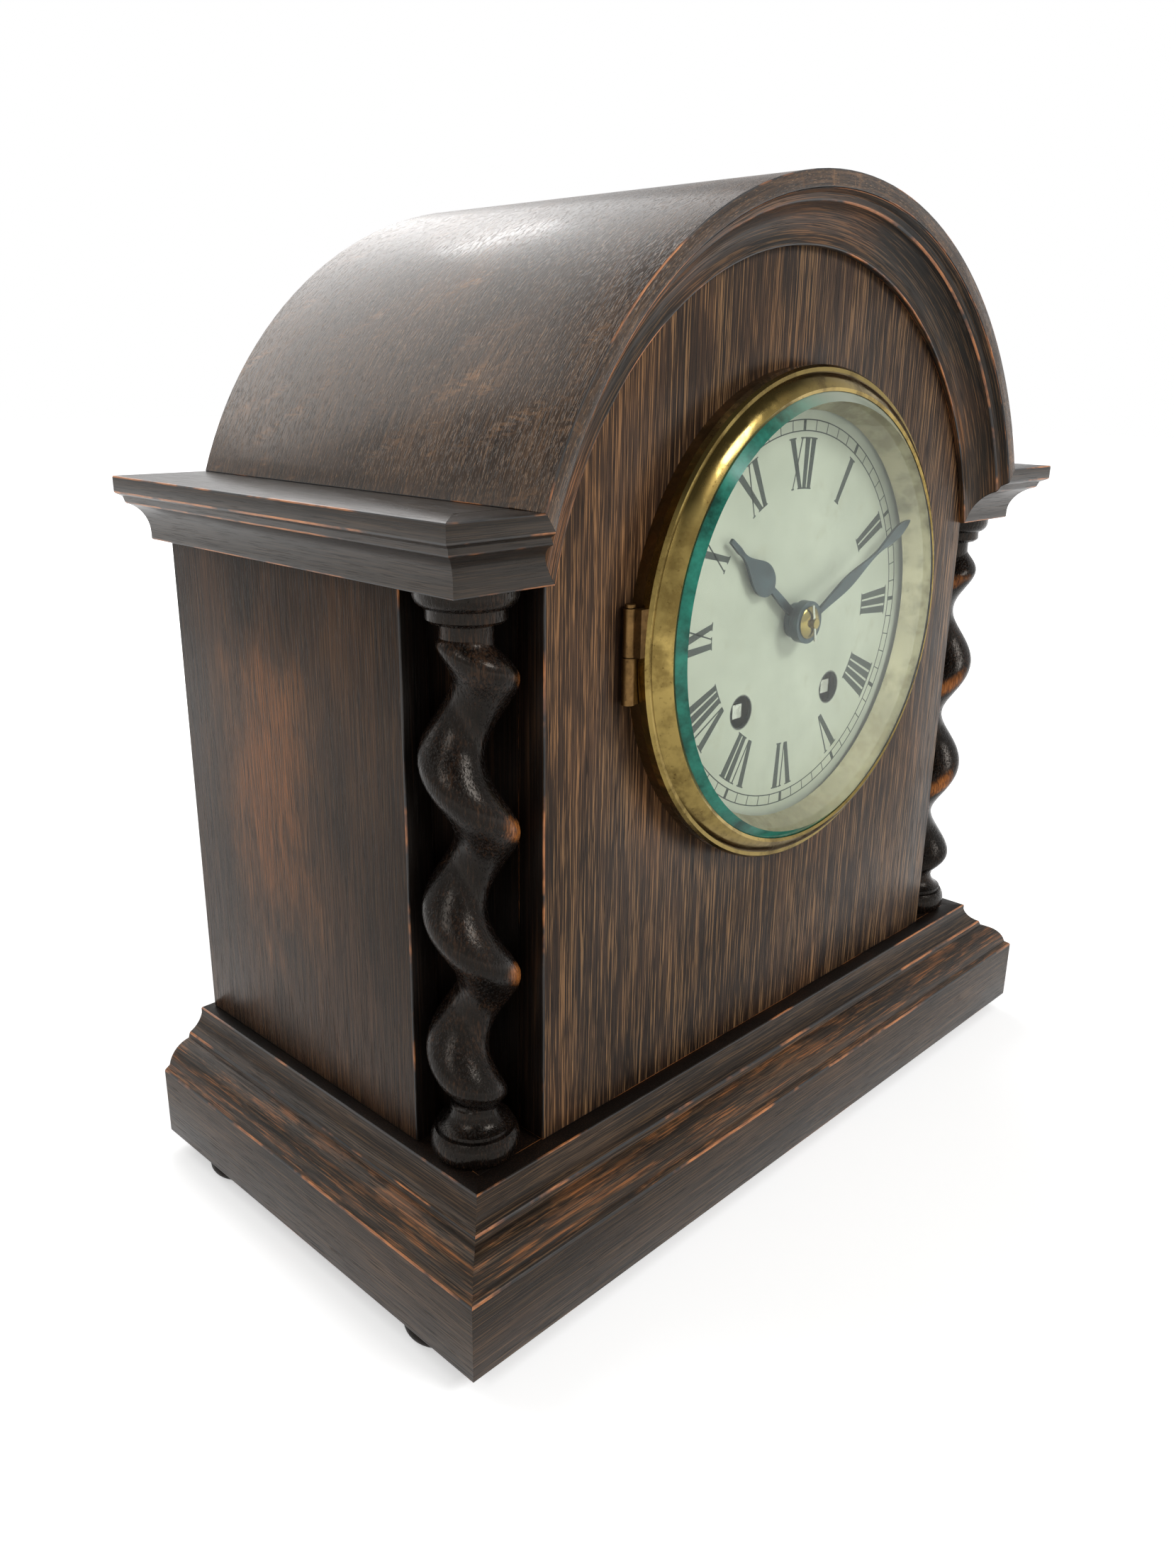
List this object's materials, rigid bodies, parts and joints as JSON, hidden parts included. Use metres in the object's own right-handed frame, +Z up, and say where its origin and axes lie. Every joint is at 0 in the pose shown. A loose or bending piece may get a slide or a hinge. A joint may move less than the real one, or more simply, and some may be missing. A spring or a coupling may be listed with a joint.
{
  "type": "mantel clock",
  "caption": "Round-topped oak mantel clock with twisted corner columns, silvered Roman dial behind a hinged bevelled glass, and a spring-driven pendulum movement that strikes on a coil gong.",
  "frame": {"origin": "on the table under the middle of the plinth, at the soles of the feet", "axes": "+X to the right seen from the front, -Y out of the dial, +Z up"},
  "size_m": [0.3, 0.1589, 0.3085],
  "materials": {
    "oak": "fumed oak, polished",
    "dark_oak": "near-black stained oak, glossy",
    "back_oak": "plain stained oak, dull",
    "polished_brass": "polished and lacquered",
    "dark_brass": "aged, dark bronze",
    "plate_brass": "brushed",
    "silvered_dial": "silvered, matt",
    "clear_glass": "clear, bevelled edge",
    "blued_steel": "dark blued",
    "bright_steel": "bright",
    "iron": "black painted casting"
  },
  "bodies": {
    "case": {"plinth_front_rail": "oak", "plinth_side_rails": "oak", "plinth_back_rail": "back_oak", "base_board": "back_oak", "bun_feet": "dark_oak", "side_panel_left": "oak", "side_panel_right": "oak", "corner_posts": "dark_oak", "front_panel": "oak", "twist_column_left": "dark_oak", "twist_column_right": "dark_oak", "cornice_side_runs": "oak", "cornice_returns": "oak", "hood": "oak", "arch_moulding": "oak", "back_panel": "back_oak", "back_hinge_fixed": "dark_brass", "dial_plate": "silvered_dial", "bezel_base_ring": "dark_brass", "bezel_hinge_pin": "polished_brass", "front_plate": "plate_brass", "back_plate": "plate_brass", "plate_pillars": "bright_steel", "movement_brackets": "bright_steel", "back_cock": "plate_brass", "gong": "blued_steel", "gong_stand": "iron"},
    "bezel_door": {"bezel_ring": "polished_brass", "bezel_glass": "clear_glass", "sight_ring": "polished_brass"},
    "rear_door": {"back_door": "back_oak", "back_hinge_moving": "dark_brass"},
    "turn_button": {"turn_button": "dark_brass"},
    "minute_group": {"cannon_pinion": "plate_brass", "minute_hand": "blued_steel", "hand_washer": "polished_brass"},
    "minute_wheel": {"minute_wheel": "plate_brass"},
    "hour_group": {"hour_wheel": "plate_brass", "hour_hand": "blued_steel"},
    "going_barrel": {"going_barrel": "plate_brass", "going_mainspring": "bright_steel"},
    "intermediate_wheel": {"intermediate_wheel": "plate_brass"},
    "centre_wheel": {"centre_wheel": "plate_brass", "hand_pin": "bright_steel"},
    "third_wheel": {"third_wheel": "plate_brass"},
    "escape_wheel": {"escape_wheel": "plate_brass"},
    "pendulum": {"anchor": "bright_steel", "pendulum_rod": "bright_steel", "pendulum_bob": "plate_brass"},
    "strike_barrel": {"strike_barrel": "plate_brass", "strike_mainspring": "bright_steel"},
    "strike_second_wheel": {"strike_second_wheel": "plate_brass"},
    "strike_pin_wheel": {"strike_pin_wheel": "plate_brass"},
    "warning_wheel": {"warning_wheel": "plate_brass"},
    "fly": {"fly": "plate_brass"},
    "going_winding_arbor": {"going_winding_arbor": "bright_steel"},
    "strike_winding_arbor": {"strike_winding_arbor": "bright_steel"},
    "going_click": {"going_click": "bright_steel"},
    "strike_click": {"strike_click": "bright_steel"},
    "hammer": {"hammer": "bright_steel"}
  },
  "joints": [
    {"name": "bezel_swing", "type": "hinge", "parent": "case", "child": "bezel_door", "pos_m": [-0.0763, -0.061, 0.1847], "axis": [0, 0, -1], "range_deg": [0, 110]},
    {"name": "back_door_swing", "type": "hinge", "parent": "case", "child": "rear_door", "pos_m": [0.07525, 0.0784, 0.1217], "axis": [0, 0, -1], "range_deg": [0, 110]},
    {"name": "turn_button_turn", "type": "hinge", "parent": "case", "child": "turn_button", "pos_m": [-0.0825, 0.0775, 0.1217], "axis": [0, 1, 0], "range_deg": [0, 90]},
    {"name": "minute_hand_turn", "type": "hinge", "parent": "case", "child": "minute_group", "pos_m": [0, 0, 0.1847], "axis": [0, -1, 0], "continuous": true},
    {"name": "minute_wheel_turn", "type": "hinge", "parent": "case", "child": "minute_wheel", "pos_m": [0, 0, 0.1727], "axis": [0, -1, 0], "continuous": true},
    {"name": "hour_hand_turn", "type": "hinge", "parent": "case", "child": "hour_group", "pos_m": [0, 0, 0.1847], "axis": [0, -1, 0], "continuous": true},
    {"name": "third_wheel_turn", "type": "hinge", "parent": "case", "child": "third_wheel", "pos_m": [0.00785, 0, 0.19946], "axis": [0, -1, 0], "continuous": true},
    {"name": "escape_wheel_turn", "type": "hinge", "parent": "case", "child": "escape_wheel", "pos_m": [0, 0, 0.21168], "axis": [0, -1, 0], "continuous": true},
    {"name": "centre_wheel_turn", "type": "hinge", "parent": "case", "child": "centre_wheel", "pos_m": [0, 0, 0.1847], "axis": [0, -1, 0], "continuous": true},
    {"name": "intermediate_wheel_turn", "type": "hinge", "parent": "case", "child": "intermediate_wheel", "pos_m": [0.01723, 0, 0.18257], "axis": [0, -1, 0], "continuous": true},
    {"name": "going_barrel_turn", "type": "hinge", "parent": "case", "child": "going_barrel", "pos_m": [0.0235, 0, 0.1594], "axis": [0, -1, 0], "continuous": true},
    {"name": "pendulum_swing", "type": "hinge", "parent": "case", "child": "pendulum", "pos_m": [0, 0, 0.22668], "axis": [0, -1, 0], "range_deg": [-3.5, 3.5]},
    {"name": "warning_wheel_turn", "type": "hinge", "parent": "case", "child": "warning_wheel", "pos_m": [-0.02237, 0, 0.21245], "axis": [0, -1, 0], "continuous": true},
    {"name": "fly_turn", "type": "hinge", "parent": "case", "child": "fly", "pos_m": [-0.02857, 0, 0.2213], "axis": [0, -1, 0], "continuous": true},
    {"name": "strike_pin_wheel_turn", "type": "hinge", "parent": "case", "child": "strike_pin_wheel", "pos_m": [-0.02475, 0, 0.19898], "axis": [0, -1, 0], "continuous": true},
    {"name": "strike_second_wheel_turn", "type": "hinge", "parent": "case", "child": "strike_second_wheel", "pos_m": [-0.03011, 0, 0.18247], "axis": [0, -1, 0], "continuous": true},
    {"name": "strike_barrel_turn", "type": "hinge", "parent": "case", "child": "strike_barrel", "pos_m": [-0.0235, 0, 0.1594], "axis": [0, -1, 0], "continuous": true},
    {"name": "going_winding_turn", "type": "hinge", "parent": "case", "child": "going_winding_arbor", "pos_m": [0.0235, 0, 0.1594], "axis": [0, -1, 0], "continuous": true},
    {"name": "strike_winding_turn", "type": "hinge", "parent": "case", "child": "strike_winding_arbor", "pos_m": [-0.0235, 0, 0.1594], "axis": [0, -1, 0], "continuous": true},
    {"name": "going_click_lift", "type": "hinge", "parent": "case", "child": "going_click", "pos_m": [0.0325, 0, 0.1719], "axis": [0, 1, 0], "range_deg": [0, 8], "stiffness_Nm_per_rad": 0.002, "springref_deg": -11.46},
    {"name": "strike_click_lift", "type": "hinge", "parent": "case", "child": "strike_click", "pos_m": [-0.0325, 0, 0.1719], "axis": [0, -1, 0], "range_deg": [0, 8], "stiffness_Nm_per_rad": 0.002, "springref_deg": -11.46},
    {"name": "hammer_lift", "type": "hinge", "parent": "case", "child": "hammer", "pos_m": [-0.043, 0, 0.2087], "axis": [0, 1, 0], "range_deg": [0, 10]}
  ],
  "couplings": [
    {"joint": "minute_wheel_turn", "follows": "minute_hand_turn", "ratio": -0.33333},
    {"joint": "hour_hand_turn", "follows": "minute_hand_turn", "ratio": 0.083333},
    {"joint": "escape_wheel_turn", "follows": "third_wheel_turn", "ratio": -10},
    {"joint": "centre_wheel_turn", "follows": "third_wheel_turn", "ratio": -0.1},
    {"joint": "intermediate_wheel_turn", "follows": "third_wheel_turn", "ratio": 0.016667},
    {"joint": "going_barrel_turn", "follows": "third_wheel_turn", "ratio": -0.0018519},
    {"joint": "fly_turn", "follows": "warning_wheel_turn", "ratio": -8},
    {"joint": "strike_pin_wheel_turn", "follows": "warning_wheel_turn", "ratio": -0.125},
    {"joint": "strike_second_wheel_turn", "follows": "warning_wheel_turn", "ratio": 0.020833},
    {"joint": "strike_barrel_turn", "follows": "warning_wheel_turn", "ratio": -0.0023148}
  ]
}
